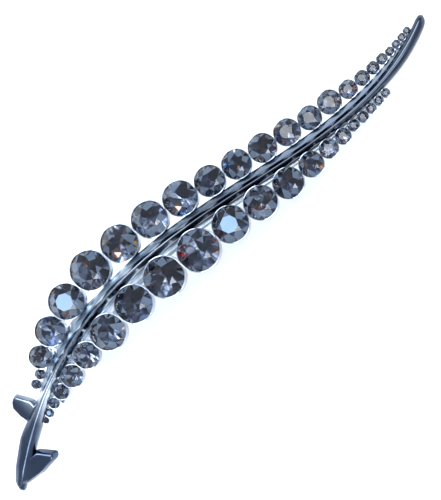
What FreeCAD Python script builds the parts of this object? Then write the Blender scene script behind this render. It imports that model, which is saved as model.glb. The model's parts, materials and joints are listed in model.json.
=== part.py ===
import FreeCAD, Part
import math
import os
import Sketcher

# Rhinestone hair clip, a curved feather of set stones over a sprung beak clip.
# Sizes are in millimetres.  +X runs from the thorned stem (tail) to the tip,
# +Y is the side of the long left row of stones, +Z is up through the stones.
# The origin lies on the flat underside of the lower arm, about mid length,
# so the clip rests on Z = 0.

# The feather's middle line is the smooth curve through five offsets to the left,
# bend_spacing apart along the clip, and everything above the hair gap follows
# one shallow arch of radius arch_radius.
SHAPE = {
    "bend_spacing": 25.0,
    "bend_tail": -5.6,
    "bend_rear": 2.4,
    "bend_middle": 0.4,
    "bend_front": -6.2,
    "bend_tip": -6.5,
    "arch_top": 9.8,
    "arch_radius": 514.0,
    "arch_crown": -38.0,
}

BEND_STEPS = {"bend_tail": -2, "bend_rear": -1, "bend_middle": 0, "bend_front": 1, "bend_tip": 2}

# Cups and stones.
SETTINGS = {
    "cup_overlap": 0.08,
    "cup_sink": 0.08,
    "cup_step": 0.08,
    "cup_base": 0.55,
    "cup_rise": 0.38,
    "cup_floor": 0.35,
    "cup_wall_least": 0.11,
    "cup_wall_rise": 0.010,
    "left_row_start": -37.2,
    "right_row_start": -40.8,
    "left_row_gap": 1.50,
    "right_row_gap": 0.82,
    "row_close": 0.1,
    "row_close_from": 42.0,
    "stone_clearance": 0.02,
    "stone_drop": 0.05,
    "table_share": 0.56,
    "crown_share": 0.46,
    "girdle_share": 0.08,
    "pavilion_share": 0.74,
}

# Stones set in each row, by diameter, in order from the stem to the tip.
LEFT_STONES = [1.6, 1.7, 3.9, 5.1, 6.1, 6.7, 6.3, 6.1, 5.8, 5.1, 4.9, 4.7,
               4.4, 3.9, 3.9, 3.0, 2.4, 2.0, 1.7, 1.4, 1.3, 1.2, 1.1]
RIGHT_STONES = [1.1, 1.5, 1.8, 2.6, 3.8, 4.5, 6.1, 6.4, 6.9, 7.1, 6.1, 5.6,
                5.1, 4.1, 3.1, 2.6, 1.9, 1.8, 1.6, 1.5, 1.4]

# The ridged spine: along, reach to the left, reach to the right, height of the ridge.
SPINE_STATIONS = [
    (-53.0, 1.20, 1.00, 1.9),
    (-50.0, 1.80, 1.25, 2.4),
    (-46.0, 2.10, 1.30, 2.7),
    (-42.0, 1.60, 1.20, 2.8),
    (-36.5, 1.00, 0.95, 2.9),
    (-24.0, 0.85, 0.82, 3.0),
    (-8.0, 0.80, 0.80, 3.1),
    (10.0, 0.78, 0.78, 2.9),
    (26.0, 0.72, 0.72, 2.5),
    (38.0, 0.82, 0.82, 2.2),
    (46.0, 0.95, 0.95, 2.0),
    (51.0, 0.85, 0.85, 1.7),
    (52.4, 0.45, 0.45, 1.2),
]

# The base rail under the spine: along, reach to the left, reach to the right.
RAIL_STATIONS = [
    (-41.2, 1.10, 1.05),
    (-36.0, 1.72, 1.05),
    (-31.0, 1.78, 1.05),
    (-26.0, 1.80, 1.05),
    (-21.0, 1.80, 1.05),
    (-16.0, 1.80, 1.05),
    (-11.0, 1.80, 1.05),
    (-6.0, 1.80, 1.02),
    (-1.0, 1.80, 1.00),
    (4.0, 1.80, 1.00),
    (9.0, 1.80, 0.98),
    (14.0, 1.78, 0.96),
    (19.0, 1.78, 0.95),
    (24.0, 1.76, 0.95),
    (29.0, 1.75, 0.95),
    (34.0, 1.74, 0.92),
    (39.0, 1.72, 0.90),
    (44.0, 1.62, 0.80),
    (48.6, 1.30, 0.60),
]

# The sprung arms: along, half width.
UPPER_ARM_STATIONS = [
    (-40.0, 1.20),
    (-34.0, 2.25),
    (-28.0, 2.60),
    (-22.0, 2.30),
    (-16.0, 1.60),
    (-9.0, 1.45),
    (-2.0, 1.40),
    (6.0, 1.30),
    (14.0, 1.20),
    (22.0, 1.10),
    (30.0, 1.00),
    (38.0, 0.90),
]
LOWER_ARM_STATIONS = [
    (-39.5, 1.00),
    (-34.0, 1.65),
    (-28.0, 2.20),
    (-22.0, 1.90),
    (-16.0, 1.45),
    (-9.0, 1.30),
    (-2.0, 1.20),
    (6.0, 1.15),
    (14.0, 1.10),
    (22.0, 1.05),
    (30.0, 0.95),
    (38.0, 0.90),
]

# The names each strip's stations have in the sheet.
STATION_GROUPS = [
    ("rail", ("along", "left", "right"), RAIL_STATIONS),
    ("spine", ("along", "left", "right", "rise"), SPINE_STATIONS),
    ("upper_arm", ("along", "reach"), UPPER_ARM_STATIONS),
    ("lower_arm", ("along", "reach"), LOWER_ARM_STATIONS),
]

# Corners of the two thorns on the stem, along and across.
LEFT_THORN = [(-43.2, -1.6), (-43.4, 0.6), (-43.4, 2.8), (-42.4, 4.0),
              (-41.0, 4.2), (-39.4, 1.1), (-39.6, -1.0)]
TAIL_HOOK = [(-53.0, -7.0), (-51.0, -7.8), (-47.8, -8.4), (-44.0, -8.6), (-43.2, -7.8), (-45.4, -4.9),
             (-48.2, -4.4), (-51.6, -5.8)]

MECHANISM = {
    "spine_lift": 0.15,
    "spine_shoulder": 0.55,
    "rail_height": 0.7,
    "solder_gap": 0.3,
    "solder_fit": 0.02,
    "solder_length": 5.0,
    "solder_width": 1.8,
    "front_solder": 12.0,
    "rear_solder": -36.0,
    "arm_thickness": 0.8,
    "trim": 0.3,
    "trim_reach": 75.0,
    "pivot_along": -27.5,
    "pivot_height": 4.6,
    "pin_radius": 0.6,
    "pin_head_radius": 0.95,
    "pin_head_height": 0.25,
    "pin_head_dome": 0.6,
    "pin_end_play": 0.02,
    "pin_hole_length": 10.0,
    "pin_rivet_fit": 0.02,
    "pin_running_fit": 0.06,
    "ear_thickness": 0.5,
    "upper_ear_inner": 1.95,
    "lower_ear_inner": 1.30,
    "ear_foot": 3.4,
    "ear_radius": 1.5,
    "ear_end_share": 0.55,
    "spring_coil_radius": 1.05,
    "spring_wire_radius": 0.22,
    "spring_pitch": 0.47,
    "spring_whole_turns": 4.0,
    "spring_leg": 5.5,
    "spring_leg_lean": 27.0,
    "nose_clearance": 0.1,
    "nose_length": 1.4,
    "nose_foot_share": 1.6,
    "nose_crest_share": 0.5,
    "tooth_height": 0.7,
    "tooth_base": 0.9,
    "tooth_width": 1.2,
    "tooth_first": 24.0,
    "tooth_spacing": 2.2,
    "thorn_height": 1.7,
    "thorn_taper": 18.0,
}
TOOTH_COUNT = 5
HANDS = {"left": 1, "right": -1}

doc = FreeCAD.newDocument("hair_clip")
sheet = doc.addObject("Spreadsheet::Sheet", "Sizes")


def fill_sheet():
    """Write every driving size into the sheet under its own name."""
    rows = []
    for group in (SHAPE, SETTINGS, MECHANISM):
        rows.extend(group.items())
    for side, stones in (("left", LEFT_STONES), ("right", RIGHT_STONES)):
        rows.extend((f"{side}_stone_{i}", diameter) for i, diameter in enumerate(stones, 1))
    for name, words, stations in STATION_GROUPS:
        for i, station in enumerate(stations, 1):
            rows.extend((f"{name}_{word}_{i}", amount) for word, amount in zip(words, station))
    for name, corners in (("left_thorn", LEFT_THORN), ("tail_hook", TAIL_HOOK)):
        for i, (along, across) in enumerate(corners, 1):
            rows.append((f"{name}_along_{i}", along))
            rows.append((f"{name}_across_{i}", across))
    for row, (name, amount) in enumerate(rows, 1):
        sheet.set(f"A{row}", name)
        sheet.set(f"B{row}", str(amount))
        sheet.setAlias(f"B{row}", name)
    doc.recompute()


def size(name):
    """Read one size back from the sheet."""
    return float(sheet.get(name))


def bend(along):
    """Across position of the feather's middle line."""
    step = along / size("bend_spacing")
    across = 0.0
    for name, spot in BEND_STEPS.items():
        others = [other for other in BEND_STEPS.values() if other != spot]
        across += size(name) * math.prod((step - other) / (spot - other) for other in others)
    return across


def bend_text(along):
    """The same middle line as a sheet expression."""
    terms = []
    for name, spot in BEND_STEPS.items():
        others = [other for other in BEND_STEPS.values() if other != spot]
        share = math.prod(spot - other for other in others)
        factors = " * ".join(f"(({along}) / Sizes.bend_spacing - ({other}))" for other in others)
        terms.append(f"Sizes.{name} * {factors} / ({share})")
    return " + ".join(terms)


def arch(along):
    """Height of the casting's underside."""
    radius = size("arch_radius")
    reach = along - size("arch_crown")
    return size("arch_top") - radius + math.sqrt(radius ** 2 - reach ** 2)


def arch_text(along):
    """The same arch as a sheet expression."""
    reach = f"({along} - Sizes.arch_crown)"
    return f"Sizes.arch_top - Sizes.arch_radius + sqrt(Sizes.arch_radius ^ 2 - {reach} ^ 2)"


def tilt(along):
    """Turn about Y that lays a flat piece on the arch."""
    angle = math.degrees(math.asin((along - size("arch_crown")) / size("arch_radius")))
    return FreeCAD.Rotation(FreeCAD.Vector(0, 1, 0), angle)


def on_arch(along, across, height):
    """Placement of a piece seated on the arch."""
    turn = tilt(along)
    lift = turn.multVec(FreeCAD.Vector(0, 0, height))
    return FreeCAD.Placement(FreeCAD.Vector(along, across, arch(along)) + lift, turn)


def origin_plane(body, role):
    """Find one of a body's own origin planes."""
    return next(item for item in body.Origin.OriginFeatures if item.Role == role)


def new_sketch(body, name, role, offsets):
    """Add a sketch on an origin plane, moved by sheet expressions."""
    sketch = body.newObject("Sketcher::SketchObject", name)
    sketch.AttachmentSupport = [(origin_plane(body, role), "")]
    sketch.MapMode = "FlatFace"
    for axis, text in offsets.items():
        sketch.setExpression(f"AttachmentOffset.Base.{axis}", text)
    return sketch


def draw_outline(sketch, corners):
    """Draw a closed outline whose corners are bound to (x, y) expressions."""
    doc.recompute()
    spots = []
    for x_text, y_text in corners:
        spots.append(FreeCAD.Vector(value_of(sketch, x_text), value_of(sketch, y_text), 0))
    for i, spot in enumerate(spots):
        sketch.addGeometry(Part.LineSegment(spot, spots[(i + 1) % len(spots)]), False)
    for i in range(len(spots)):
        following = (i + 1) % len(spots)
        sketch.addConstraint(Sketcher.Constraint("Coincident", i, 2, following, 1))
    for i, (x_text, y_text) in enumerate(corners):
        for kind, amount, text in (("DistanceX", spots[i].x, x_text), ("DistanceY", spots[i].y, y_text)):
            number = sketch.addConstraint(Sketcher.Constraint(kind, -1, 1, i, 1, amount))
            sketch.setExpression(f"Constraints[{number}]", text)


def value_of(thing, text):
    """Work out an expression to start a constraint from."""
    found = thing.evalExpression(text)
    return float(getattr(found, "Value", found))


def loft_along(body, name, stations, corners_at, height_text, ruled=False):
    """Loft a strip through cross-sections that stand on the middle line."""
    sections = []
    for i in range(1, len(stations) + 1):
        along = f"Sizes.{name}_along_{i}"
        offsets = {"x": bend_text(along), "y": height_text(along), "z": along}
        sketch = new_sketch(body, f"{name}_section_{i}", "YZ_Plane", offsets)
        draw_outline(sketch, corners_at(i))
        sections.append(sketch)
    loft = body.newObject("PartDesign::AdditiveLoft", f"{name}_loft")
    loft.Profile = sections[0]
    loft.Sections = sections[1:]
    loft.Ruled = ruled
    doc.recompute()
    return loft


def spine_corners(i):
    """House-shaped section of the ridged spine."""
    left = f"Sizes.spine_left_{i}"
    right = f"-Sizes.spine_right_{i}"
    rise = f"Sizes.spine_rise_{i}"
    shoulder = f"{rise} * Sizes.spine_shoulder"
    foot = "Sizes.spine_lift"
    return [(right, foot), (left, foot), (left, shoulder), ("0", rise), (right, shoulder)]


def rail_corners(i):
    """Flat section of the base rail, wider to the left than to the right."""
    left = f"Sizes.rail_left_{i}"
    right = f"-Sizes.rail_right_{i}"
    top = "Sizes.rail_height"
    return [(right, "0"), (left, "0"), (left, top), (right, top)]


def arm_corners(name, spare="0"):
    """Flat section of a sprung arm, hanging below its own top face, with spare metal to trim off."""
    def corners(i):
        reach = f"Sizes.{name}_reach_{i}"
        under = f"-Sizes.arm_thickness - {spare}"
        return [(f"-{reach}", under), (reach, under), (reach, "0"), (f"-{reach}", "0")]
    return corners


def thorn(body, name, corner_count):
    """Pad one bevelled thorn on the stem."""
    along = f"Sizes.{name}_along_1"
    sketch = new_sketch(body, f"{name}_outline", "XY_Plane", {"z": f"{arch_text(along)} + Sizes.spine_lift"})
    corners = []
    for i in range(1, corner_count + 1):
        corners.append((f"Sizes.{name}_along_{i}", f"Sizes.{name}_across_{i}"))
    draw_outline(sketch, corners)
    pad = body.newObject("PartDesign::Pad", f"{name}_pad")
    pad.Profile = sketch
    pad.setExpression("Length", "Sizes.thorn_height")
    pad.setExpression("TaperAngle", "-Sizes.thorn_taper")
    doc.recompute()


def row_places(side, count, start, gap):
    """Places of one row's cups, each touching the one before and the spine side."""
    hand = HANDS[side]
    places = []
    for number in range(1, count + 1):
        stone_width = size(f"{side}_stone_{number}")
        width = cup_width(stone_width)
        off = gap + width / 2
        if not places:
            along = start
            across = bend(along) + hand * off
        else:
            last_along, last_across, last_stone = places[-1]
            reach = (cup_width(last_stone) + width) / 2 - size("cup_overlap")
            low, high = last_along, last_along + 2 * reach
            for _ in range(50):
                along = (low + high) / 2
                across = bend(along) + hand * (off - closing(along))
                if math.hypot(along - last_along, across - last_across) < reach:
                    low = along
                else:
                    high = along
        places.append((along, across, stone_width))
    return places


def closing(along):
    """How far the rows draw in towards the spine near the tip."""
    return size("row_close") * max(0.0, along - size("row_close_from"))


def cup_wall(stone_width):
    """Thickness of a cup's wall."""
    return size("cup_wall_least") + size("cup_wall_rise") * stone_width


def cup_width(stone_width):
    """Outer diameter of the cup round a stone."""
    return stone_width + 2 * (size("stone_clearance") + cup_wall(stone_width))


def cup_height(stone_width):
    """Height of a cup's rim above the casting's underside."""
    return size("cup_base") + size("cup_rise") * stone_width


def cup_pair(side, number, place):
    """The outer drum of one cup, every other one set a little higher, and its stone's bore."""
    sink = size("cup_sink") + size("cup_step") * (number % 2)
    along, across, stone_width = place
    outward = FreeCAD.Placement(FreeCAD.Vector(), FreeCAD.Rotation(FreeCAD.Vector(0, 0, 1), 90 * HANDS[side]))
    drum = Part.makeCylinder(cup_width(stone_width) / 2, cup_height(stone_width) - sink)
    drum.Placement = on_arch(along, across, sink).multiply(outward)
    bore = Part.makeCylinder(stone_width / 2 + size("stone_clearance"), cup_height(stone_width))
    bore.Placement = on_arch(along, across, size("cup_floor")).multiply(outward)
    return drum, bore


def faceted_stone(radius):
    """A round chaton: eight-sided table, sixteen-sided girdle, pointed back."""
    crown = radius * size("crown_share")
    girdle = radius * size("girdle_share")
    pavilion = radius * size("pavilion_share")
    table = [ring_point(radius * size("table_share"), 2 * i, girdle + crown) for i in range(8)]
    upper = [ring_point(radius, i, girdle) for i in range(16)]
    lower = [ring_point(radius, i, 0.0) for i in range(16)]
    culet = FreeCAD.Vector(0, 0, -pavilion)
    faces = [table]
    for i in range(8):
        corner = table[i]
        following = table[(i + 1) % 8]
        before = upper[2 * i - 1]
        under = upper[2 * i]
        after = upper[2 * i + 1]
        faces.append([corner, before, under])
        faces.append([corner, under, after])
        faces.append([corner, after, following])
    for i in range(16):
        j = (i + 1) % 16
        faces.append([upper[i], lower[i], lower[j], upper[j]])
        faces.append([lower[i], culet, lower[j]])
    plates = [Part.Face(Part.makePolygon(corners + [corners[0]])) for corners in faces]
    solid = Part.makeSolid(Part.makeShell(plates))
    solid.fix(1e-6, 1e-6, 1e-6)
    if solid.Volume < 0:
        solid.reverse()
    return solid


def ring_point(radius, step, height):
    """One of sixteen points round a stone."""
    angle = 2 * math.pi * step / 16
    return FreeCAD.Vector(radius * math.cos(angle), radius * math.sin(angle), height)


def stone(side, number, place):
    """One stone standing in its cup."""
    along, across, stone_width = place
    seat = cup_height(stone_width) - size("stone_drop") * stone_width
    piece = doc.addObject("Part::Feature", f"{side}_stone_{number:02d}")
    piece.Shape = faceted_stone(stone_width / 2)
    piece.Placement = on_arch(along, across, seat)
    piece.Label = f"{side}_stone_{number:02d}"
    return piece


def feather_casting(rows):
    """Spine, stem, thorns, base rail and all the cups as one casting."""
    body = doc.addObject("PartDesign::Body", "spine_body")
    loft_along(body, "rail", RAIL_STATIONS, rail_corners, arch_text, ruled=True)
    loft_along(body, "spine", SPINE_STATIONS, spine_corners, arch_text)
    thorn(body, "left_thorn", len(LEFT_THORN))
    thorn(body, "tail_hook", len(TAIL_HOOK))
    drums = []
    bores = []
    for side, places in rows.items():
        for number, place in enumerate(places, 1):
            drum, bore = cup_pair(side, number, place)
            drums.append(drum)
            bores.append(bore)
    casting = doc.addObject("Part::Feature", "feather_casting")
    casting.Label = "feather_casting"
    casting.Shape = body.Shape.fuse(drums).cut(bores)
    casting.Placement = FreeCAD.Placement()
    return casting


def ear_pair(body, name, inner, tip_side, foot_height):
    """Pad two ears that carry the hinge pin, one each side of the pivot."""
    across = f"({bend_text('Sizes.pivot_along')})"
    pivot = "Sizes.pivot_height"
    for side, hand in (("left", 1), ("right", -1)):
        middle = f"Sizes.{inner} + Sizes.ear_thickness / 2"
        offset = f"-({across}) - {hand} * ({middle})"
        sketch = new_sketch(body, f"{name}_{side}_ear", "XZ_Plane", {"z": offset})
        end = f"{pivot} + {tip_side} * Sizes.ear_radius"
        slim = "Sizes.ear_radius * Sizes.ear_end_share"
        corners = [
            ("Sizes.pivot_along - Sizes.ear_foot", foot_height),
            ("Sizes.pivot_along + Sizes.ear_foot", foot_height),
            ("Sizes.pivot_along + Sizes.ear_radius", pivot),
            (f"Sizes.pivot_along + {slim}", end),
            (f"Sizes.pivot_along - {slim}", end),
            ("Sizes.pivot_along - Sizes.ear_radius", pivot),
        ]
        draw_outline(sketch, corners)
        pad = body.newObject("PartDesign::Pad", f"{name}_{side}_ear_pad")
        pad.Profile = sketch
        pad.SideType = "Symmetric"
        pad.setExpression("Length", "Sizes.ear_thickness")
        doc.recompute()


def pin_hole(body, name, fit):
    """Cut the hinge pin's hole through both ears."""
    sketch = new_sketch(body, f"{name}_pin_circle", "XZ_Plane", {"z": f"-({bend_text('Sizes.pivot_along')})"})
    centre = FreeCAD.Vector(size("pivot_along"), size("pivot_height"), 0)
    radius = size("pin_radius") + size(fit)
    sketch.addGeometry(Part.Circle(centre, FreeCAD.Vector(0, 0, 1), radius), False)
    limits = (("DistanceX", centre.x, "Sizes.pivot_along"), ("DistanceY", centre.y, "Sizes.pivot_height"))
    for kind, amount, text in limits:
        number = sketch.addConstraint(Sketcher.Constraint(kind, -1, 1, 0, 3, amount))
        sketch.setExpression(f"Constraints[{number}]", text)
    number = sketch.addConstraint(Sketcher.Constraint("Radius", 0, radius))
    sketch.setExpression(f"Constraints[{number}]", f"Sizes.pin_radius + Sizes.{fit}")
    hole = body.newObject("PartDesign::Pocket", f"{name}_pin_hole")
    hole.Profile = sketch
    hole.SideType = "Symmetric"
    hole.setExpression("Length", "Sizes.pin_hole_length")
    doc.recompute()


def upper_arm():
    """The arched upper arm of the clip, soldered under the feather."""
    body = doc.addObject("PartDesign::Body", "upper_arm")
    body.Label = "upper_arm"

    def top(along):
        return f"{arch_text(along)} - Sizes.solder_gap"

    loft_along(body, "upper_arm", UPPER_ARM_STATIONS, arm_corners("upper_arm"), top)
    foot = f"{arch_text('Sizes.pivot_along')} - Sizes.solder_gap - Sizes.arm_thickness / 2"
    ear_pair(body, "upper", "upper_ear_inner", -1, foot)
    pin_hole(body, "upper", "pin_rivet_fit")
    return body


def lower_arm():
    """The flat sprung lower arm, with a raised nose and gripping teeth."""
    body = doc.addObject("PartDesign::Body", "lower_arm")
    body.Label = "lower_arm"
    loft_along(body, "lower_arm", LOWER_ARM_STATIONS, arm_corners("lower_arm", "Sizes.trim"),
               lambda along: "Sizes.arm_thickness")
    trim_underside(body)
    ear_pair(body, "lower", "lower_ear_inner", 1, "Sizes.arm_thickness / 2")
    pin_hole(body, "lower", "pin_running_fit")
    last = len(LOWER_ARM_STATIONS)
    end = f"Sizes.lower_arm_along_{last}"
    crest = f"{arch_text(end)} - Sizes.solder_gap - Sizes.arm_thickness - Sizes.nose_clearance"
    foot = "Sizes.arm_thickness / 2"
    nose = [(f"{end} - Sizes.nose_foot_share * Sizes.nose_length", foot), (end, foot), (end, crest),
            (f"{end} - Sizes.nose_crest_share * Sizes.nose_length", crest)]
    cross_ridge(body, "nose", nose, end, f"2 * Sizes.lower_arm_reach_{last}")
    for i in range(TOOTH_COUNT):
        middle = f"(Sizes.tooth_first + {i} * Sizes.tooth_spacing)"
        tooth = [(f"{middle} - Sizes.tooth_base / 2", foot), (f"{middle} + Sizes.tooth_base / 2", foot),
                 (middle, "Sizes.arm_thickness + Sizes.tooth_height")]
        cross_ridge(body, f"tooth_{i + 1}", tooth, middle, "Sizes.tooth_width")
    return body


def trim_underside(body):
    """Cut the spare metal off below Z = 0, which leaves one flat face to rest on."""
    sketch = new_sketch(body, "trim_outline", "XY_Plane", {})
    reach = "Sizes.trim_reach"
    back = f"-{reach}"
    draw_outline(sketch, [(back, back), (reach, back), (reach, reach), (back, reach)])
    cut = body.newObject("PartDesign::Pocket", "underside_trim")
    cut.Profile = sketch
    cut.setExpression("Length", "Sizes.trim * 2")
    before = body.Shape.Volume
    doc.recompute()
    if body.Shape.Volume >= before:
        raise RuntimeError("the underside was not trimmed")


def cross_ridge(body, name, corners, along, width):
    """Pad a small ridge across an arm."""
    sketch = new_sketch(body, f"{name}_outline", "XZ_Plane", {"z": f"-({bend_text(along)})"})
    draw_outline(sketch, corners)
    pad = body.newObject("PartDesign::Pad", f"{name}_pad")
    pad.Profile = sketch
    pad.SideType = "Symmetric"
    pad.setExpression("Length", width)
    doc.recompute()


def hinge_pin():
    """The riveted hinge pin, a plain shaft with a low head at each end."""
    body = doc.addObject("PartDesign::Body", "hinge_pin")
    body.Label = "hinge_pin"
    sketch = new_sketch(body, "pin_profile", "YZ_Plane", {"x": bend_text("Sizes.pivot_along"),
                                                          "y": "Sizes.pivot_height",
                                                          "z": "Sizes.pivot_along"})
    shaft_end = "(Sizes.upper_ear_inner + Sizes.ear_thickness + Sizes.pin_end_play)"
    head_end = f"({shaft_end} + Sizes.pin_head_height)"
    dome = "Sizes.pin_head_radius * Sizes.pin_head_dome"
    corners = [(f"-{head_end}", "0"), (head_end, "0"), (head_end, dome),
               (shaft_end, "Sizes.pin_head_radius"), (shaft_end, "Sizes.pin_radius"),
               (f"-{shaft_end}", "Sizes.pin_radius"), (f"-{shaft_end}", "Sizes.pin_head_radius"),
               (f"-{head_end}", dome)]
    draw_outline(sketch, corners)
    turn = body.newObject("PartDesign::Revolution", "pin_turning")
    turn.Profile = sketch
    turn.ReferenceAxis = (sketch, ["H_Axis"])
    turn.Angle = 360.0
    doc.recompute()
    return body


def torsion_spring():
    """A small coil round the pin with one leg under each arm's rear end."""
    coil = size("spring_coil_radius")
    wire = size("spring_wire_radius")
    pitch = size("spring_pitch")
    leg = size("spring_leg")
    lean = size("spring_leg_lean")
    sweep = 180.0 - 2 * lean
    rise = pitch * (size("spring_whole_turns") + sweep / 360)
    start = FreeCAD.Vector(coil, 0, 0)
    ring = Part.Wire(Part.Circle(start, FreeCAD.Vector(0, 1, 0), wire).toShape())
    winding = Part.Wire(Part.makeHelix(pitch, rise, coil)).makePipeShell([ring], True, True)
    turn = FreeCAD.Rotation(FreeCAD.Vector(0, 0, 1), sweep)
    end = turn.multVec(start) + FreeCAD.Vector(0, 0, rise)
    legs = [Part.makeCylinder(wire, leg, start, FreeCAD.Vector(0, -1, 0)),
            Part.makeCylinder(wire, leg, end, turn.multVec(FreeCAD.Vector(0, 1, 0)))]
    knuckles = [Part.makeSphere(wire, start), Part.makeSphere(wire, end)]
    piece = doc.addObject("Part::Feature", "torsion_spring")
    piece.Label = "torsion_spring"
    piece.Shape = winding.fuse(legs + knuckles)
    along = size("pivot_along")
    across = bend(along) - rise / 2
    upright = FreeCAD.Rotation(FreeCAD.Vector(1, 0, 0), -90)
    opened = FreeCAD.Rotation(FreeCAD.Vector(0, 0, 1), lean - 90)
    spot = FreeCAD.Vector(along, across, size("pivot_height"))
    piece.Placement = FreeCAD.Placement(spot, upright.multiply(opened))
    return piece


def solder_joint(name, along_name):
    """A flat bead of solder between the base rail and the upper arm."""
    bead = doc.addObject("Part::Box", name)
    bead.Label = name
    bead.setExpression("Length", "Sizes.solder_length")
    bead.setExpression("Width", "Sizes.solder_width")
    bead.setExpression("Height", "Sizes.solder_gap - 2 * Sizes.solder_fit")
    along = size(along_name)
    slope = math.degrees(math.atan2(bend(along + 1) - bend(along - 1), 2))
    turn = tilt(along).multiply(FreeCAD.Rotation(FreeCAD.Vector(0, 0, 1), slope))
    corner = FreeCAD.Vector(-size("solder_length") / 2, -size("solder_width") / 2, 0)
    middle = FreeCAD.Vector(along, bend(along), arch(along) - size("solder_gap") + size("solder_fit"))
    bead.Placement = FreeCAD.Placement(middle + turn.multVec(corner), turn)
    return bead


def check(pieces):
    """Stop if anything failed to build."""
    for thing in doc.Objects:
        if "Invalid" in thing.State or "Error" in thing.State:
            raise RuntimeError(f"{thing.Name} did not build: {thing.State}")
    for piece in pieces:
        if piece.Shape.isNull() or not piece.Shape.isValid():
            raise RuntimeError(f"{piece.Label} has no sound shape")


def build():
    """Build every piece and write one file for each."""
    fill_sheet()
    rows = {
        "left": row_places("left", len(LEFT_STONES), size("left_row_start"), size("left_row_gap")),
        "right": row_places("right", len(RIGHT_STONES), size("right_row_start"), size("right_row_gap")),
    }
    pieces = [feather_casting(rows)]
    for side, places in rows.items():
        pieces.extend(stone(side, number, place) for number, place in enumerate(places, 1))
    pieces.extend([upper_arm(), lower_arm(), hinge_pin(), torsion_spring()])
    pieces.append(solder_joint("front_solder", "front_solder"))
    pieces.append(solder_joint("rear_solder", "rear_solder"))
    doc.recompute()
    check(pieces)
    os.makedirs("parts", exist_ok=True)
    for piece in pieces:
        piece.Shape.exportStep(f"parts/{piece.Label}.step")
        print(f"{piece.Label}: {len(piece.Shape.Solids)} solid(s), {piece.Shape.Volume:.3f} mm3")


build()
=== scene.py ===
"""Looks of the rhinestone hair clip: cut stones, cup rims, plated metal, floor and light."""

import json
import logging
import math
import random
from collections.abc import Callable, Sequence
from dataclasses import dataclass, field
from enum import Enum

import bmesh
import bpy
from mathutils import Matrix, Vector


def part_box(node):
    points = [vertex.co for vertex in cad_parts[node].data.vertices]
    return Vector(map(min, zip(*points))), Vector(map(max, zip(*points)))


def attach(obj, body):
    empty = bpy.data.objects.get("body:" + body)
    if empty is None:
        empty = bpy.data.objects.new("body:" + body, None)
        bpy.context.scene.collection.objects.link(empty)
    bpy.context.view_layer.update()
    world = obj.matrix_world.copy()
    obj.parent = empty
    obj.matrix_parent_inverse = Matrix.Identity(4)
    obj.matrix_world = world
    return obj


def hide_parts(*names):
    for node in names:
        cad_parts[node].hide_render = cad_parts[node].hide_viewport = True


log = logging.getLogger("hair_clip")

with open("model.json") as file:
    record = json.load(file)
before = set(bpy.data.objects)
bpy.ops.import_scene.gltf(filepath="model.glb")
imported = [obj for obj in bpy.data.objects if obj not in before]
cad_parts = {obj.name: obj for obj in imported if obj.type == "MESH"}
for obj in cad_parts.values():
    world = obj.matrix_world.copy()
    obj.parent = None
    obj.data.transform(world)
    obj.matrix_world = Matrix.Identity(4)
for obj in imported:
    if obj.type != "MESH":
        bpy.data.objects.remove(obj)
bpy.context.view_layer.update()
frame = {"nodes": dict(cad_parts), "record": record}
MM = 0.001
CLIP = "feather_clip"
JAW = "lower_jaw"

# Sockets of a colour mix node, by their order.
MIX_SHARE = 0
MIX_LOW = 6
MIX_HIGH = 7
MIX_RESULT = 2
HINGE = Vector(next(joint for joint in frame["record"]["behaviour"]["joints"])["pos_m"])

# The middle line: offsets to the left at steps of BEND_SPACING, and the arch under the casting, in mm.
BEND_SPACING = 25.0
BEND_OFFSETS = {-2: -5.6, -1: 2.4, 0: 0.4, 1: -6.2, 2: -6.5}
ARCH_TOP = 9.8
ARCH_CROWN = -38.0
ARCH_RADIUS = 514.0


def middle_line(along: float) -> float:
    """Place the feather's middle line.

    Args:
        along: Position along the clip, in mm.

    Returns:
        Its offset to the left, in mm.
    """
    step = along / BEND_SPACING
    across = 0.0
    for spot, offset in BEND_OFFSETS.items():
        others = [other for other in BEND_OFFSETS if other != spot]
        across += offset * math.prod((step - other) / (spot - other) for other in others)
    return across


def arch(along: float) -> float:
    """Height of the casting's underside, in mm."""
    return ARCH_TOP - ARCH_RADIUS + math.sqrt(ARCH_RADIUS ** 2 - (along - ARCH_CROWN) ** 2)


class Row(Enum):
    """The two rows of stones, by the side of the spine that they lie on."""

    LEFT = "left"
    RIGHT = "right"


class Facet(Enum):
    """Material slots of a cut stone."""

    CROWN = 0
    FOIL = 1
    # The pale table glass, a painted reflection of the sky.
    TABLE = 2
    HAZED = 3


# A seat: the girdle's height over the stone's foot and the cup's spread, in stone radii; the cup's wall and
# base, in mm; and the girdle's height over that base, in stone diameters.
GIRDLE_SHARE = 0.74
CUP_SPREAD = 1.02
CUP_WALL = 0.13
CUP_BASE = 0.55
CUP_RISE = 0.33

Colour = tuple[float, float, float]


def opaque(colour: Colour) -> tuple[float, float, float, float]:
    """Add full alpha to a colour."""
    return (*colour, 1.0)


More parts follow.
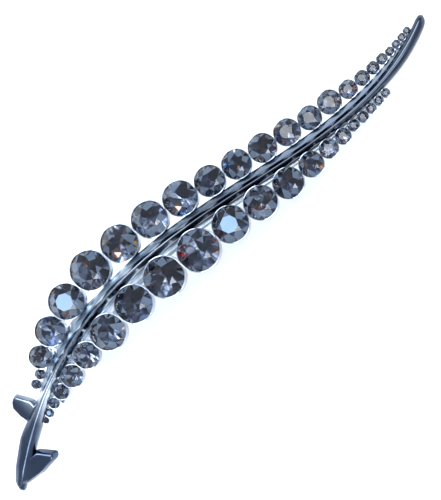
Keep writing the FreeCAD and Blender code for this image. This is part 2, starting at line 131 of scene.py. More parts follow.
class Nodes:
    """A short way to write a node tree."""

    def __init__(self, tree: bpy.types.NodeTree) -> None:
        """Start from an empty tree."""
        self.tree = tree
        tree.nodes.clear()

    def add(self, kind: str, settings: dict[str, object] | None = None,
            **values: object) -> bpy.types.Node:
        """Add one node.

        Args:
            kind: The node's Blender type.
            settings: Properties of the node itself.
            **values: Input values, or sockets to link from, by input name with _ for a space.

        Returns:
            The new node.
        """
        node = self.tree.nodes.new(kind)
        for name, value in (settings or {}).items():
            setattr(node, name, value)
        for name, value in values.items():
            socket = node.inputs[name.replace("_", " ")]
            if isinstance(value, bpy.types.NodeSocket):
                self.tree.links.new(value, socket)
            else:
                socket.default_value = value
        return node

    def mix(self, low: object, high: object, share: object) -> bpy.types.NodeSocket:
        """Mix two colours.

        Args:
            low: Colour, or socket, at a share of 0.
            high: Colour, or socket, at a share of 1.
            share: How much of the second, or a socket.

        Returns:
            The mixed colour.
        """
        node = self.tree.nodes.new("ShaderNodeMix")
        node.data_type = "RGBA"
        for index, value in ((MIX_SHARE, share), (MIX_LOW, low), (MIX_HIGH, high)):
            if isinstance(value, bpy.types.NodeSocket):
                self.tree.links.new(value, node.inputs[index])
            else:
                node.inputs[index].default_value = value
        return node.outputs[MIX_RESULT]

    def spread(self, value: bpy.types.NodeSocket, low: float, high: float,
               out_low: float, out_high: float) -> bpy.types.NodeSocket:
        """Map a value from one range to another, clamped.

        Args:
            value: The value to map.
            low: Start of its range.
            high: End of its range.
            out_low: What the start becomes.
            out_high: What the end becomes.

        Returns:
            The mapped value.
        """
        node = self.add("ShaderNodeMapRange", Value=value)
        limits = {"From Min": low, "From Max": high, "To Min": out_low, "To Max": out_high}
        for name, number in limits.items():
            node.inputs[name].default_value = number
        return node.outputs["Result"]


def make_group(name: str, inputs: dict[str, float], outputs: Sequence[str],
               build: Callable[[Nodes, bpy.types.Node, bpy.types.Node], None]) -> bpy.types.NodeTree:
    """Make a shader node group with named number inputs and outputs.

    Args:
        name: The group's name.
        inputs: Default value of each input.
        outputs: Names of the outputs.
        build: Fills the group between its input and output nodes.

    Returns:
        The finished group.
    """
    tree = bpy.data.node_groups.new(name, "ShaderNodeTree")
    for label, value in inputs.items():
        tree.interface.new_socket(label, in_out="INPUT", socket_type="NodeSocketFloat").default_value = value
    for label in outputs:
        tree.interface.new_socket(label, in_out="OUTPUT", socket_type="NodeSocketFloat")
    nodes = Nodes(tree)
    build(nodes, nodes.add("NodeGroupInput"), nodes.add("NodeGroupOutput"))
    return tree


class Effects:
    """Node groups that several finishes share."""

    def __init__(self) -> None:
        """Build the groups once."""
        self.wear = make_group("rubbed_wear", {"Scale": 300.0, "Amount": 0.5}, ["Mask"], self._wear)
        self.grain = make_group("fine_grain", {"Scale": 2500.0}, ["Height", "Tarnish"], self._grain)

    @staticmethod
    def _wear(nodes: Nodes, inlet: bpy.types.Node, outlet: bpy.types.Node) -> None:
        """Fill the group with patches where the plating is rubbed brighter.

        Args:
            nodes: The group's own tree.
            inlet: Its inputs.
            outlet: Its outputs.
        """
        place = nodes.add("ShaderNodeTexCoord").outputs["Object"]
        noise = nodes.add("ShaderNodeTexNoise", Vector=place, Scale=inlet.outputs["Scale"], Detail=6.0,
                          Roughness=0.65)
        mask = nodes.spread(noise.outputs["Fac"], 0.46, 0.66, 0.0, 1.0)
        scaled = nodes.add("ShaderNodeMath", {"operation": "MULTIPLY"})
        nodes.tree.links.new(mask, scaled.inputs[0])
        nodes.tree.links.new(inlet.outputs["Amount"], scaled.inputs[1])
        nodes.tree.links.new(scaled.outputs[0], outlet.inputs["Mask"])

    @staticmethod
    def _grain(nodes: Nodes, inlet: bpy.types.Node, outlet: bpy.types.Node) -> None:
        """Fill the group with casting grain for the bump and broad tarnish for the colour.

        Args:
            nodes: The group's own tree.
            inlet: Its inputs.
            outlet: Its outputs.
        """
        place = nodes.add("ShaderNodeTexCoord").outputs["Object"]
        fine = nodes.add("ShaderNodeTexNoise", Vector=place, Scale=inlet.outputs["Scale"], Detail=4.0)
        broad = nodes.add("ShaderNodeTexNoise", Vector=place, Scale=140.0, Detail=3.0)
        nodes.tree.links.new(fine.outputs["Fac"], outlet.inputs["Height"])
        nodes.tree.links.new(broad.outputs["Fac"], outlet.inputs["Tarnish"])

    def use(self, nodes: Nodes, group: bpy.types.NodeTree, **values: float) -> bpy.types.Node:
        """Place one of the groups in a tree.

        Args:
            nodes: The tree.
            group: The group to place.
            **values: Its input values.

        Returns:
            The group's node.
        """
        node = nodes.add("ShaderNodeGroup", {"node_tree": group})
        for name, value in values.items():
            node.inputs[name].default_value = value
        return node


@dataclass(frozen=True)
class MetalFinish:
    """A plated or bare metal."""

    name: str
    dark: Colour
    light: Colour
    rough_low: float
    rough_high: float
    bump_mm: float
    wear: float
    # Shares of painted shade that darken the colour towards the tip and the stem, standing in for the dark
    # surroundings that the plate reflects there.
    tip_shade: float = 0.0
    stem_shade: float = 0.0

    def material(self, effects: Effects) -> bpy.types.Material:
        """Make the material.

        Returns:
            The finish, darkened towards the tip and the stem by painted shade, as far as its two shade
            shares say.
        """
        made = bpy.data.materials.new(self.name)
        made.use_nodes = True
        nodes = Nodes(made.node_tree)
        grain = effects.use(nodes, effects.grain)
        wear = effects.use(nodes, effects.wear, Amount=self.wear)
        tarnish = nodes.spread(grain.outputs["Tarnish"], 0.35, 0.65, 0.0, 1.0)
        tone = nodes.mix(opaque(self.dark), opaque(self.light), tarnish)
        bright = nodes.mix(tone, opaque((0.86, 0.89, 0.92)), wear.outputs["Mask"])
        # Painted shade: the colour runs dark towards the tip and the stem, in place of dark reflections.
        if self.tip_shade > 0.0:
            place = nodes.add("ShaderNodeTexCoord").outputs["Object"]
            along = nodes.add("ShaderNodeSeparateXYZ", Vector=place).outputs["X"]
            tip = nodes.spread(along, -22.0 * MM, 4.0 * MM, 0.0, self.tip_shade)
            stem = nodes.spread(along, -37.0 * MM, -42.0 * MM, 0.0, self.stem_shade)
            bright = nodes.mix(bright, opaque((0.035, 0.045, 0.065)), tip)
            bright = nodes.mix(bright, opaque((0.04, 0.06, 0.10)), stem)
        rough = nodes.spread(grain.outputs["Tarnish"], 0.3, 0.7, self.rough_low, self.rough_high)
        bump = nodes.add("ShaderNodeBump", Height=grain.outputs["Height"], Strength=0.5,
                         Distance=self.bump_mm * MM)
        shader = nodes.add("ShaderNodeBsdfPrincipled", Base_Color=bright, Roughness=rough, Metallic=1.0,
                           Normal=bump.outputs["Normal"])
        nodes.add("ShaderNodeOutputMaterial", Surface=shader.outputs["BSDF"])
        return made


@dataclass(frozen=True)
class GlassFinish:
    """Smoky cut glass, clear enough to show the foil behind it."""

    name: str
    tint: Colour
    haze: Colour
    clearness: float

    def material(self) -> bpy.types.Material:
        """Make the material."""
        made = bpy.data.materials.new(self.name)
        made.use_nodes = True
        nodes = Nodes(made.node_tree)
        place = nodes.add("ShaderNodeTexCoord").outputs["Object"]
        cloud = nodes.add("ShaderNodeTexNoise", Vector=place, Scale=180.0, Detail=2.0)
        share = nodes.spread(cloud.outputs["Fac"], 0.35, 0.65, 0.0, 1.0)
        tone = nodes.mix(opaque(self.tint), opaque(self.haze), share)
        rough = nodes.spread(cloud.outputs["Fac"], 0.3, 0.7, 0.0, 0.03)
        scratch = nodes.add("ShaderNodeTexNoise", Vector=place, Scale=2200.0, Detail=2.0)
        bump = nodes.add("ShaderNodeBump", Height=scratch.outputs["Fac"], Strength=0.08, Distance=0.004 * MM)
        shader = nodes.add("ShaderNodeBsdfPrincipled", Base_Color=tone, Roughness=rough, IOR=1.56,
                           Transmission_Weight=self.clearness, Normal=bump.outputs["Normal"])
        nodes.add("ShaderNodeOutputMaterial", Surface=shader.outputs["BSDF"])
        return made


@dataclass(frozen=True)
class FoilFinish:
    """The mirror foil behind a stone, coloured facet by facet: partly the stone's own colour, partly painted
    reflections and glints.
    """

    name: str

    def material(self) -> bpy.types.Material:
        """Make the material."""
        made = bpy.data.materials.new(self.name)
        made.use_nodes = True
        nodes = Nodes(made.node_tree)
        # The facet tones paint reflections and glints into the foil's colour.
        tone = nodes.add("ShaderNodeAttribute", {"attribute_name": "facet_tone"}).outputs["Color"]
        place = nodes.add("ShaderNodeTexCoord").outputs["Object"]
        noise = nodes.add("ShaderNodeTexNoise", Vector=place, Scale=900.0, Detail=3.0)
        dust = nodes.spread(noise.outputs["Fac"], 0.5, 0.8, 0.0, 0.5)
        dulled = nodes.mix(tone, opaque((0.05, 0.05, 0.07)), dust)
        rough = nodes.spread(noise.outputs["Fac"], 0.3, 0.7, 0.05, 0.2)
        shader = nodes.add("ShaderNodeBsdfPrincipled", Base_Color=dulled, Roughness=rough, Metallic=1.0)
        nodes.add("ShaderNodeOutputMaterial", Surface=shader.outputs["BSDF"])
        return made


@dataclass(frozen=True)
class PlainFinish:
    """A matt backdrop with a trace of mottling."""

    name: str
    colour: Colour

    def material(self) -> bpy.types.Material:
        """Make the material."""
        made = bpy.data.materials.new(self.name)
        made.use_nodes = True
        nodes = Nodes(made.node_tree)
        place = nodes.add("ShaderNodeTexCoord").outputs["Object"]
        noise = nodes.add("ShaderNodeTexNoise", Vector=place, Scale=14.0, Detail=2.0)
        paler = tuple(min(1.0, part * 1.03) for part in self.colour)
        tone = nodes.mix(opaque(self.colour), opaque(paler), noise.outputs["Fac"])
        shader = nodes.add("ShaderNodeBsdfPrincipled", Base_Color=tone, Roughness=0.9)
        nodes.add("ShaderNodeOutputMaterial", Surface=shader.outputs["BSDF"])
        return made


def new_piece(name: str, mesh: bpy.types.Mesh, materials: Sequence[bpy.types.Material]) -> bpy.types.Object:
    """Put a mesh in the scene.

    Args:
        name: The piece's name.
        mesh: Its mesh.
        materials: Its materials, in the order of their slots.

    Returns:
        The new piece.
    """
    piece = bpy.data.objects.new(name, mesh)
    bpy.context.scene.collection.objects.link(piece)
    for material in materials:
        mesh.materials.append(material)
    return piece


@dataclass
class Seat:
    """Where one stone sits, read from its CAD node."""

    node: str
    middle: Vector
    radius: float
    tilt: float

    @classmethod
    def of(cls, node: str) -> "Seat":
        """Read a seat from the node's box.

        Args:
            node: The stone's CAD node.

        Returns:
            The seat, with its tilt along the arch.
        """
        low, high = (Vector(corner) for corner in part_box(node))
        radius = (high.y - low.y) / 2
        middle = (low + high) / 2
        tilt = math.asin((middle.x / MM - ARCH_CROWN) / ARCH_RADIUS)
        middle.z = low.z + GIRDLE_SHARE * radius * math.cos(tilt)
        return cls(node, middle, radius, tilt)

    def matrix(self) -> Matrix:
        """Turn and place something modelled at the origin."""
        return Matrix.Translation(self.middle) @ Matrix.Rotation(self.tilt, 4, "Y")

    @property
    def cup_radius(self) -> float:
        """Outer radius of the cup round this stone."""
        return CUP_SPREAD * self.radius + CUP_WALL * MM

    @property
    def seat_height(self) -> float:
        """Height of the stone's girdle over the casting's underside."""
        return CUP_BASE * MM + CUP_RISE * 2 * self.radius


@dataclass(frozen=True)
class Flare:
    """A painted glint of coloured fire in a stone, towards a bearing in degrees from the tip's direction."""

    colour: Colour
    bearing: float


@dataclass
class StoneCutter:
    """Cuts round brilliants with a foil back."""

    table: float = 0.50
    crown: float = 0.44
    waist: float = 0.74
    girdle: float = 0.06
    pavilion: float = 0.70
    heart: float = 0.42
    hazed_share: float = 0.35
    # Foil tones with their odds, given facet by facet: partly the stone's own smoky colour, partly painted
    # reflections, and silver is a painted glint.
    palette: dict[str, tuple[Colour, float]] = field(default_factory=lambda: {
        "slate": ((0.20, 0.25, 0.33), 0.30),
        "navy": ((0.045, 0.05, 0.09), 0.30),
        "smoke": ((0.11, 0.10, 0.12), 0.18),
        "umber": ((0.30, 0.19, 0.14), 0.10),
        "silver": ((0.80, 0.86, 0.95), 0.12),
    })

    def cut(self, seat: Seat, name: str, materials: Sequence[bpy.types.Material], chance: random.Random,
            flare: Flare | None, pale_table: bool) -> bpy.types.Object:
        """Cut one stone and set it in its seat.

        Args:
            seat: Where it goes and how big it is.
            name: The piece's name.
            materials: Glass, foil, pale table glass that paints a reflection of the sky, and hazed glass, in
                the order of Facet.
            chance: Source of the facets' tones.
            flare: A painted glint of coloured fire on one side of the foil, or None.
            pale_table: Whether the table gets the pale glass, a painted reflection of the sky.

        Returns:
            The finished piece.
        """
        cut = bmesh.new()
        tones = cut.loops.layers.float_color.new("facet_tone")
        turn = chance.uniform(0.0, math.tau)

        def ring(count: int, start: float, radius: float, height: float) -> list[bmesh.types.BMVert]:
            """Set a ring of corners at a radius and height."""
            corners = []
            for step in range(count):
                angle = turn + start + math.tau * step / count
                spot = (radius * math.cos(angle), radius * math.sin(angle), height)
                corners.append(cut.verts.new(spot))
            return corners

        half = math.pi / 8
        run = 1.0 - self.waist * math.cos(half)
        top = ring(8, 0.0, self.table, self.crown + self.girdle)
        waist = ring(8, half, self.waist, self.girdle + self.crown * run / (1.0 - self.table))
        edge = ring(32, 0.0, 1.0, self.girdle)
        foot = ring(32, 0.0, 1.0, 0.0)
        heart = ring(8, half, self.heart, -self.pavilion * (1.0 - self.heart * math.cos(half)))
        culet = cut.verts.new((0.0, 0.0, -self.pavilion))
        crown_faces = []
        foil_faces = []
        table_face = cut.faces.new(top)
        for i in range(8):
            after = (i + 1) % 8
            crown_faces.append(cut.faces.new((top[i], waist[i], top[after])))
            crown_faces.append(cut.faces.new((top[i], waist[i - 1], edge[4 * i], waist[i])))
            foil_faces.append(cut.faces.new((culet, heart[i], foot[4 * i], heart[i - 1])))
            for j in range(4):
                near = 4 * i + j
                far = (near + 1) % 32
                crown_faces.append(cut.faces.new((waist[i], edge[near], edge[far])))
                foil_faces.append(cut.faces.new((heart[i], foot[far], foot[near])))
        for i in range(32):
            after = (i + 1) % 32
            crown_faces.append(cut.faces.new((edge[i], foot[i], foot[after], edge[after])))
        for face in crown_faces:
            if chance.random() < self.hazed_share:
                face.material_index = Facet.HAZED.value
        # Foil facets take tones from the palette at random: partly the stone's own colour, partly painted
        # reflections and glints.
        colours = [colour for colour, _ in self.palette.values()]
        weights = [weight for _, weight in self.palette.values()]
        for face in foil_faces:
            face.material_index = Facet.FOIL.value
            tone = chance.choices(colours, weights)[0]
            for corner in face.loops:
                corner[tones] = opaque(tone)
        # Painted glint: the three foil facets furthest towards the bearing take the flare's colour.
        if flare is not None:
            bearing = math.radians(flare.bearing)
            side = Vector((math.cos(bearing), math.sin(bearing), 0.0))
            foil_faces.sort(key=lambda face: -face.calc_center_median().dot(side))
            for face in foil_faces[0:3]:
                for corner in face.loops:
                    corner[tones] = opaque(flare.colour)
        # Pale table: a painted reflection of the sky.
        table_face.material_index = Facet.TABLE.value if pale_table else Facet.CROWN.value
        bmesh.ops.recalc_face_normals(cut, faces=cut.faces)
        bmesh.ops.scale(cut, vec=(seat.radius,) * 3, verts=cut.verts)
        bmesh.ops.transform(cut, matrix=seat.matrix(), verts=cut.verts)
        mesh = bpy.data.meshes.new(name)
        cut.to_mesh(mesh)
        cut.free()
        piece = new_piece(name, mesh, materials)
        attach(piece, CLIP)
        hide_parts(seat.node)
        return piece


def finish_mesh(shape: bmesh.types.BMesh, name: str, smooth_angle: float) -> bpy.types.Mesh:
    """Close off a bmesh as a mesh.

    Args:
        shape: The shape, which is freed.
        name: The mesh's name.
        smooth_angle: Edges flatter than this many degrees shade smoothly.

    Returns:
        The mesh.
    """
    bmesh.ops.recalc_face_normals(shape, faces=shape.faces)
    limit = math.radians(smooth_angle)
    for face in shape.faces:
        face.smooth = True
    for edge in shape.edges:
        edge.smooth = len(edge.link_faces) == 2 and edge.calc_face_angle(0.0) < limit
    mesh = bpy.data.meshes.new(name)
    shape.to_mesh(mesh)
    shape.free()
    return mesh


def cast_piece(shape: bmesh.types.BMesh, name: str, material: bpy.types.Material,
               smooth_angle: float = 40.0) -> bpy.types.Object:
    """Make one part of the casting, which rides on the clip.

    Args:
        shape: Its shape, which is freed.
        name: The piece's name.
        material: Its finish.
        smooth_angle: Edges flatter than this many degrees shade smoothly.

    Returns:
        The piece.
    """
    piece = new_piece(name, finish_mesh(shape, name, smooth_angle), [material])
    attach(piece, CLIP)
    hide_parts("feather_casting")
    return piece


@dataclass
class Cups:
    """The thin-walled cups of one row, each with a rounded rim."""

    row: Row
    seats: list[Seat]
    around: int = 56

    def build(self, material: bpy.types.Material) -> bpy.types.Object:
        """Turn all the row's cups as one piece.

        Args:
            material: Their finish.

        Returns:
            The piece.
        """
        cups = bmesh.new()
        for seat in self.seats:
            self._cup(cups, seat)
        return cast_piece(cups, f"{self.row.value}_cups", material)

    def _profile(self, seat: Seat) -> list[tuple[float, float]]:
        """Outline one cup's wall, from the outside foot to the inside floor.

        Args:
            seat: The stone's seat.

        Returns:
            Reach and height of each corner.
        """
        outer = seat.cup_radius
        inner = seat.radius + 0.02 * MM
        wall = outer - inner
        rim = 0.05 * 2 * seat.radius
        foot = 0.1 * MM - seat.seat_height
        floor = 0.35 * MM - seat.seat_height
        neck = 0.35 * (rim - foot)
        return [
            (0.0, foot), (outer - 2.2 * wall, foot), (outer - 1.6 * wall, foot + 0.1 * neck),
            (outer - 0.9 * wall, rim - neck), (outer, rim - 0.4 * neck), (outer, rim - 0.5 * wall),
            (outer - 0.15 * wall, rim - 0.15 * wall), (outer - 0.5 * wall, rim),
            (inner + 0.15 * wall, rim - 0.15 * wall), (inner, rim - 0.6 * wall), (inner, floor),
            (0.0, floor),
        ]

    def _cup(self, cups: bmesh.types.BMesh, seat: Seat) -> None:
        """Turn one cup's profile round its stone.

        Args:
            cups: The shape that it joins.
            seat: The stone's seat.
        """
        place = seat.matrix()
        rings = []
        for reach, height in self._profile(seat):
            if reach == 0.0:
                rings.append([cups.verts.new(place @ Vector((0.0, 0.0, height)))])
                continue
            ring = []
            for step in range(self.around):
                angle = math.tau * step / self.around
                spot = Vector((reach * math.cos(angle), reach * math.sin(angle), height))
                ring.append(cups.verts.new(place @ spot))
            rings.append(ring)
        for low, high in zip(rings, rings[1:]):
            for step in range(self.around):
                after = (step + 1) % self.around
                corners = {low[step % len(low)]: None, low[after % len(low)]: None,
                           high[after % len(high)]: None, high[step % len(high)]: None}
                cups.faces.new(list(corners))


@dataclass(frozen=True)
class Station:
    """One cross-section of a swept strip, in mm."""

    along: float
    left: float
    right: float
    rise: float


@dataclass
class Strip:
    """A strip swept along the middle line with rounded edges and ends."""

    name: str
    stations: list[Station]
    section: list[tuple[float, float]]
    lift: float
    cap: float
    steps: int = 220
    rounding: int = 2

    def build(self, material: bpy.types.Material) -> bpy.types.Object:
        """Sweep the strip.

        Args:
            material: Its finish.

        Returns:
            The piece.
        """
        strip = bmesh.new()
        outline = self._rounded(self.section)
        start = self.stations[0].along
        end = self.stations[-1].along
        rings = []
        for step in range(self.steps + 1):
            share = 0.5 - 0.5 * math.cos(math.pi * step / self.steps)
            along = start + (end - start) * (0.7 * step / self.steps + 0.3 * share)
            rings.append(self._ring(strip, outline, along, min(along - start, end - along)))
        for low, high in zip(rings, rings[1:]):
            for i in range(len(outline)):
                after = (i + 1) % len(outline)
                strip.faces.new((low[i], low[after], high[after], high[i]))
        strip.faces.new(rings[0])
        strip.faces.new(rings[-1])
        return cast_piece(strip, self.name, material, 50.0)

    def _rounded(self, corners: list[tuple[float, float]]) -> list[tuple[float, float]]:
        """Cut the section's corners until they are round, but keep its flat foot.

        Args:
            corners: The section's corners.

        Returns:
            The rounder section.
        """
        for _ in range(self.rounding):
            smoother = [corners[0]]
            for (x, z), (next_x, next_z) in zip(corners, corners[1:]):
                smoother.append((0.75 * x + 0.25 * next_x, 0.75 * z + 0.25 * next_z))
                smoother.append((0.25 * x + 0.75 * next_x, 0.25 * z + 0.75 * next_z))
            smoother.append(corners[-1])
            corners = smoother
        return corners

    def _ring(self, strip: bmesh.types.BMesh, outline: list[tuple[float, float]], along: float,
              from_end: float) -> list[bmesh.types.BMVert]:
        """Set one cross-section, drawn in where it is near an end.

        Args:
            strip: The shape that it joins.
            outline: The rounded section, in shares of the width and the rise.
            along: Where it is, in mm.
            from_end: How far that is from the nearer end, in mm.

        Returns:
            Its corners.
        """
        here = self.at(along)
        inset = max(0.0, 1.0 - from_end / self.cap)
        swell = max(0.12, math.sqrt(1.0 - min(1.0, inset) ** 2))
        corners = []
        for x, z in outline:
            across = middle_line(along) + (here.left if x > 0 else here.right) * x * swell
            height = arch(along) + self.lift + (here.rise - self.lift) * (0.35 + (z - 0.35) * swell)
            corners.append(strip.verts.new(Vector((along, across, height)) * MM))
        return corners

    def at(self, along: float) -> Station:
        """Find the section at any place, smoothly between the stations.

        Args:
            along: Where it is, in mm.

        Returns:
            The section there.
        """
        low = max(i for i, station in enumerate(self.stations[:-1]) if station.along <= along + 1e-9)
        before, after = self.stations[low], self.stations[low + 1]
        share = (along - before.along) / (after.along - before.along)
        ease = share * share * (3 - 2 * share)
        mix = 0.5 * (share + ease)

        def between(low_size: float, high_size: float) -> float:
            """Size between two stations."""
            return low_size + (high_size - low_size) * mix

        return Station(along, between(before.left, after.left), between(before.right, after.right),
                       between(before.rise, after.rise))


@dataclass
class Thorn:
    """A rounded thorn on the stem, from its outline in mm."""

    name: str
    corners: list[tuple[float, float]]
    height: float
    inset: float
    bevel: float

    def build(self, material: bpy.types.Material) -> bpy.types.Object:
        """Raise the outline, draw its top in and round every edge.

        Args:
            material: Its finish.

        Returns:
            The piece.
        """
        thorn = bmesh.new()
        base = arch(self.corners[0][0]) + 0.15
        middle_x = sum(x for x, _ in self.corners) / len(self.corners)
        middle_y = sum(y for _, y in self.corners) / len(self.corners)
        foot = []
        crest = []
        for x, y in self.corners:
            foot.append(thorn.verts.new(Vector((x, y, base)) * MM))
            inner_x = x + (middle_x - x) * self.inset
            inner_y = y + (middle_y - y) * self.inset
            crest.append(thorn.verts.new(Vector((inner_x, inner_y, base + self.height)) * MM))
        thorn.faces.new(foot)
        thorn.faces.new(crest)
        for i in range(len(foot)):
            after = (i + 1) % len(foot)
            thorn.faces.new((foot[i], foot[after], crest[after], crest[i]))
        bmesh.ops.bevel(thorn, geom=thorn.edges[:], offset=self.bevel * MM, segments=4, profile=0.5,
                        affect="EDGES", clamp_overlap=True)
        return cast_piece(thorn, self.name, material, 35.0)


@dataclass
class Casting:
    """Spine, base rail and thorns of the gunmetal casting."""

    effects: Effects
    spine: list[Station] = field(default_factory=lambda: [
        Station(-53.0, 1.20, 1.00, 1.9), Station(-50.0, 1.80, 1.25, 2.4), Station(-46.0, 2.10, 1.30, 2.7),
        Station(-42.0, 1.60, 1.20, 2.8), Station(-36.5, 1.00, 0.95, 2.9), Station(-24.0, 0.85, 0.82, 3.0),
        Station(-8.0, 0.80, 0.80, 3.1), Station(10.0, 0.78, 0.78, 2.9), Station(26.0, 0.72, 0.72, 2.5),
        Station(38.0, 0.85, 0.85, 2.2), Station(46.0, 1.00, 1.00, 2.1), Station(51.0, 0.95, 0.95, 1.9),
        Station(52.4, 0.75, 0.75, 1.6),
    ])
    rail: list[Station] = field(default_factory=lambda: [
        Station(-41.2, 1.10, 1.05, 0.7), Station(-36.0, 1.72, 1.05, 0.7), Station(-6.0, 1.80, 1.02, 0.7),
        Station(14.0, 1.78, 0.96, 0.7), Station(34.0, 1.74, 0.92, 0.7), Station(44.0, 1.62, 0.80, 0.7),
        Station(48.6, 1.30, 0.60, 0.7),
    ])

    def build(self) -> list[bpy.types.Object]:
        """Build the four pieces."""
        # The casting's plate darkens towards the tip and the stem, and the rail's plate towards the tip, by
        # painted shade that stands in for dark reflections.
        plate = MetalFinish("gunmetal_plate", (0.22, 0.26, 0.32), (0.48, 0.54, 0.62), 0.10, 0.24, 0.015, 0.3,
                            tip_shade=0.95, stem_shade=0.93)
        pale = MetalFinish("rail_plate", (0.30, 0.40, 0.50), (0.58, 0.70, 0.80), 0.14, 0.32, 0.012, 0.2,
                           tip_shade=0.94)
        metal = plate.material(self.effects)
        ridge = [(-1.0, 0.0), (-1.0, 0.5), (-0.62, 0.74), (0.0, 1.02), (0.62, 0.74), (1.0, 0.5), (1.0, 0.0)]
        slab = [(-1.0, 0.0), (-1.0, 0.6), (-0.92, 1.0), (0.92, 1.0), (1.0, 0.6), (1.0, 0.0)]
        left = [(-43.2, -1.6), (-43.4, 0.6), (-43.4, 2.8), (-42.4, 4.0), (-41.0, 4.2), (-39.4, 1.1),
                (-39.6, -1.0)]
        hook = [(-53.0, -7.0), (-51.0, -7.8), (-47.8, -8.4), (-44.0, -8.6), (-43.2, -7.8), (-45.4, -4.9),
                (-48.2, -4.4), (-51.6, -5.8)]
        return [
            Strip("feather_spine", self.spine, ridge, 0.15, 0.8).build(metal),
            Strip("base_rail", self.rail, slab, 0.0, 0.5).build(pale.material(self.effects)),
            Thorn("left_thorn", left, 1.7, 0.22, 0.42).build(metal),
            Thorn("tail_hook", hook, 1.8, 0.22, 0.42).build(metal),
        ]


@dataclass
class Stones:
    """Both rows of stones with their cups."""

    effects: Effects
    # Painted glints of coloured fire, stone by stone.
    flares: dict[str, Flare] = field(default_factory=lambda: {
        "right_stone_10": Flare((1.0, 0.06, 0.09), 140.0),
        "left_stone_07": Flare((1.0, 0.80, 0.15), -50.0),
        "right_stone_08": Flare((0.15, 0.35, 1.0), -110.0),
        "left_stone_11": Flare((0.20, 0.55, 1.0), 130.0),
        "left_stone_04": Flare((0.30, 0.50, 1.0), 60.0),
        "left_stone_09": Flare((0.30, 0.60, 1.0), -120.0),
        "right_stone_14": Flare((0.95, 0.60, 0.25), -50.0),
        "left_stone_13": Flare((0.75, 0.45, 0.25), -80.0),
    })
    # Stones whose table paints in a pale reflection of the sky.
    pale_tables: frozenset[str] = frozenset({"left_stone_05", "right_stone_11", "right_stone_02"})

    def build(self) -> list[bpy.types.Object]:
        """Cut and set every stone."""
        glass = GlassFinish("smoky_glass", (0.50, 0.54, 0.62), (0.62, 0.62, 0.66), 1.0).material()
        foil = FoilFinish("stone_foil").material()
        # Pale blue table glass: a painted reflection of the sky.
        table = GlassFinish("pale_table_glass", (0.30, 0.46, 0.66), (0.36, 0.52, 0.70), 0.35).material()
        hazed = GlassFinish("hazed_glass", (0.10, 0.14, 0.20), (0.16, 0.21, 0.28), 0.45).material()
        materials = (glass, foil, table, hazed)
        rim = MetalFinish("cup_plate", (0.20, 0.23, 0.28), (0.42, 0.47, 0.54), 0.08, 0.2, 0.01, 0.4)
        rim_material = rim.material(self.effects)
        pieces = []
        for row in Row:
            names = sorted(node for node in frame["nodes"] if node.startswith(f"{row.value}_stone"))
            seats = [Seat.of(node) for node in names]
            for number, seat in enumerate(seats):
                chance = random.Random(f"{row.value} {number}")
                flare = self.flares.get(seat.node)
                pale = seat.node in self.pale_tables
                stone = StoneCutter().cut(seat, f"cut_{seat.node}", materials, chance, flare, pale)
                pieces.append(stone)
            pieces.append(Cups(row, seats).build(rim_material))
        return pieces


@dataclass
class Metalwork:
    """The CAD nodes that are carried over, with their finishes."""

    effects: Effects

    def build(self) -> list[bpy.types.Object]:
        """Give each carried-over node its finish.

        Returns:
            The nodes.
        """
        steel = MetalFinish("bright_steel", (0.52, 0.58, 0.64), (0.80, 0.86, 0.90), 0.14, 0.30, 0.01, 0.3)
        solder = MetalFinish("tin_solder", (0.45, 0.45, 0.47), (0.62, 0.62, 0.64), 0.35, 0.55, 0.04, 0.1)
        finishes = {
            "upper_arm": steel,
            "lower_arm": steel,
            "hinge_pin": steel,
            "front_solder": solder,
            "rear_solder": solder,
        }
        made: dict[str, bpy.types.Material] = {}
        pieces = []
        for node, finish in finishes.items():
            if finish.name not in made:
                made[finish.name] = finish.material(self.effects)
            piece = frame["nodes"][node]
            piece.data.materials.clear()
            piece.data.materials.append(made[finish.name])
            pieces.append(piece)
        return pieces


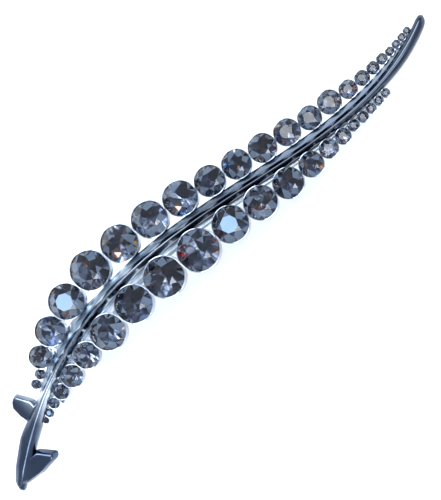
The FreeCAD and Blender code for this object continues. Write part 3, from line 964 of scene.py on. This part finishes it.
@dataclass
class Spring:
    """The torsion spring, in two parts so that each leg stays with its own arm, in mm."""

    effects: Effects
    coil: float = 1.05
    wire: float = 0.22
    pitch: float = 0.47
    whole_turns: int = 4
    leg: float = 5.5
    lean: float = 27.0

    def build(self) -> list[bpy.types.Object]:
        """Wind the coil with its upper leg, and lay the lower leg along the lower arm."""
        finish = MetalFinish("spring_wire", (0.35, 0.37, 0.40), (0.55, 0.57, 0.60), 0.2, 0.35, 0.01, 0.1)
        material = finish.material(self.effects)
        lean = math.radians(self.lean)
        sweep = math.pi - 2 * lean
        total = math.tau * self.whole_turns + sweep
        width = self.pitch * total / math.tau
        coil = []
        for step in range(24 * self.whole_turns + 1):
            turn = total * step / (24 * self.whole_turns)
            coil.append(self._spot(turn, self.coil, 0.0, width * (turn / total - 0.5)))
        upper_leg = [self._spot(0.0, self.coil, -self.leg * share, -width / 2) for share in (1.0, 0.5)]
        lower_leg = [self._spot(total, self.coil, self.leg * share, width / 2) for share in (0.0, 0.5, 1.0)]
        return [
            self._wire("spring_coil", upper_leg + coil, CLIP, material),
            self._wire("spring_lower_leg", lower_leg, JAW, material),
        ]

    def _spot(self, turn: float, reach: float, run: float, across: float) -> Vector:
        """A place on the wire, at a turn round the pin and a run along the tangent there."""
        angle = turn + math.radians(self.lean) - math.pi / 2
        x = reach * math.cos(angle) - run * math.sin(angle)
        z = -(reach * math.sin(angle) + run * math.cos(angle))
        return HINGE + Vector((x, across, z)) * MM

    def _wire(self, name: str, spots: list[Vector], body: str,
              material: bpy.types.Material) -> bpy.types.Object:
        """Draw round wire.

        Args:
            name: The piece's name.
            spots: Places that it passes through.
            body: The body that it rides on.
            material: Its finish.

        Returns:
            The wire.
        """
        curve = bpy.data.curves.new(name, "CURVE")
        curve.dimensions = "3D"
        curve.bevel_depth = self.wire * MM
        curve.bevel_resolution = 4
        curve.use_fill_caps = True
        line = curve.splines.new("POLY")
        line.points.add(len(spots) - 1)
        for point, spot in zip(line.points, spots):
            point.co = (*spot, 1.0)
        wire = bpy.data.objects.new(name, curve)
        bpy.context.scene.collection.objects.link(wire)
        curve.materials.append(material)
        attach(wire, body)
        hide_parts("torsion_spring")
        return wire


@dataclass
class Studio:
    """Floor, soft lamps, even surroundings and the camera."""

    floor_size: float = 2.4
    target: Vector = field(default_factory=lambda: Vector((0.5, -6.0, 6.0)) * MM)
    distance: float = 0.6
    elevation: float = 75.0
    bearing: float = 30.0
    roll: float = 49.4
    lens: float = 257.0

    def build(self) -> None:
        """Set the whole stage."""
        self._floor()
        self._world()
        self._lamp("key_lamp", (0.10, 0.70, 0.75), 0.50, 8.0, (0.90, 0.95, 1.0))
        self._lamp("fill_lamp", (0.15, -0.75, 0.65), 0.45, 5.0, (0.9, 0.95, 1.0))
        self._lamp("top_lamp", (0.45, 0.25, 1.1), 0.8, 12.0, (0.92, 0.96, 1.0))
        self._lamp("warm_lamp", (-0.6, -0.35, 0.45), 0.12, 1.2, (1.0, 0.80, 0.62))
        self._camera()
        bpy.context.scene.view_settings.view_transform = "Standard"

    def _floor(self) -> None:
        """A plain pale floor under the clip."""
        half = self.floor_size / 2
        sheet = bmesh.new()
        outline = ((-half, -half), (half, -half), (half, half), (-half, half))
        sheet.faces.new([sheet.verts.new((x, y, 0.0)) for x, y in outline])
        mesh = bpy.data.meshes.new("floor")
        sheet.to_mesh(mesh)
        sheet.free()
        floor = new_piece("floor", mesh, [PlainFinish("pale_floor", (0.96, 0.97, 0.98)).material()])

    @staticmethod
    def _world() -> None:
        """Set even, pale surroundings for the metal to reflect."""
        world = bpy.data.worlds.new("surroundings")
        world.use_nodes = True
        nodes = Nodes(world.node_tree)
        glow = nodes.add("ShaderNodeBackground", Color=opaque((0.75, 0.84, 1.0)), Strength=0.8)
        nodes.add("ShaderNodeOutputWorld", Surface=glow.outputs["Background"])
        bpy.context.scene.world = world

    @staticmethod
    def _lamp(name: str, spot: tuple[float, float, float], size: float, power: float,
              colour: Colour) -> None:
        """Hang a square soft lamp aimed at the clip.

        Args:
            name: The lamp's name.
            spot: Where it hangs, in metres.
            size: Its side, in metres.
            power: Its power, in watts.
            colour: Its colour.
        """
        data = bpy.data.lights.new(name, "AREA")
        data.shape = "SQUARE"
        data.size = size
        data.energy = power
        data.color = colour
        lamp = bpy.data.objects.new(name, data)
        lamp.location = spot
        lamp.rotation_mode = "QUATERNION"
        lamp.rotation_quaternion = (-Vector(spot)).to_track_quat("-Z", "Y")
        bpy.context.scene.collection.objects.link(lamp)

    def _camera(self) -> None:
        """The camera, looking down from the tip's side."""
        data = bpy.data.cameras.new("camera")
        data.lens = self.lens
        data.sensor_width = 36.0
        data.clip_start = 0.01
        data.clip_end = 20.0
        camera = bpy.data.objects.new("camera", data)
        height = math.radians(self.elevation)
        side = math.radians(self.bearing)
        reach = math.cos(height)
        back = Vector((reach * math.cos(side), -reach * math.sin(side), math.sin(height)))
        level = (Vector((1.0, 0.0, 0.0)) - back.x * back).normalized()
        upright = back.cross(level)
        roll = math.radians(self.roll)
        right = math.cos(roll) * level - math.sin(roll) * upright
        up = math.sin(roll) * level + math.cos(roll) * upright
        turn = Matrix((right, up, back)).transposed().to_4x4()
        camera.matrix_world = Matrix.Translation(self.target + self.distance * back) @ turn
        bpy.context.scene.collection.objects.link(camera)
        bpy.context.scene.camera = camera


def main() -> None:
    """Build the clip's looks and its stage."""
    logging.basicConfig(level=logging.INFO)
    effects = Effects()
    for maker in (Metalwork(effects), Casting(effects), Stones(effects), Spring(effects)):
        for piece in maker.build():
            log.info("%s, %s", piece.name, piece.type.lower())
    Studio().build()


if __name__ == "__main__":
    main()
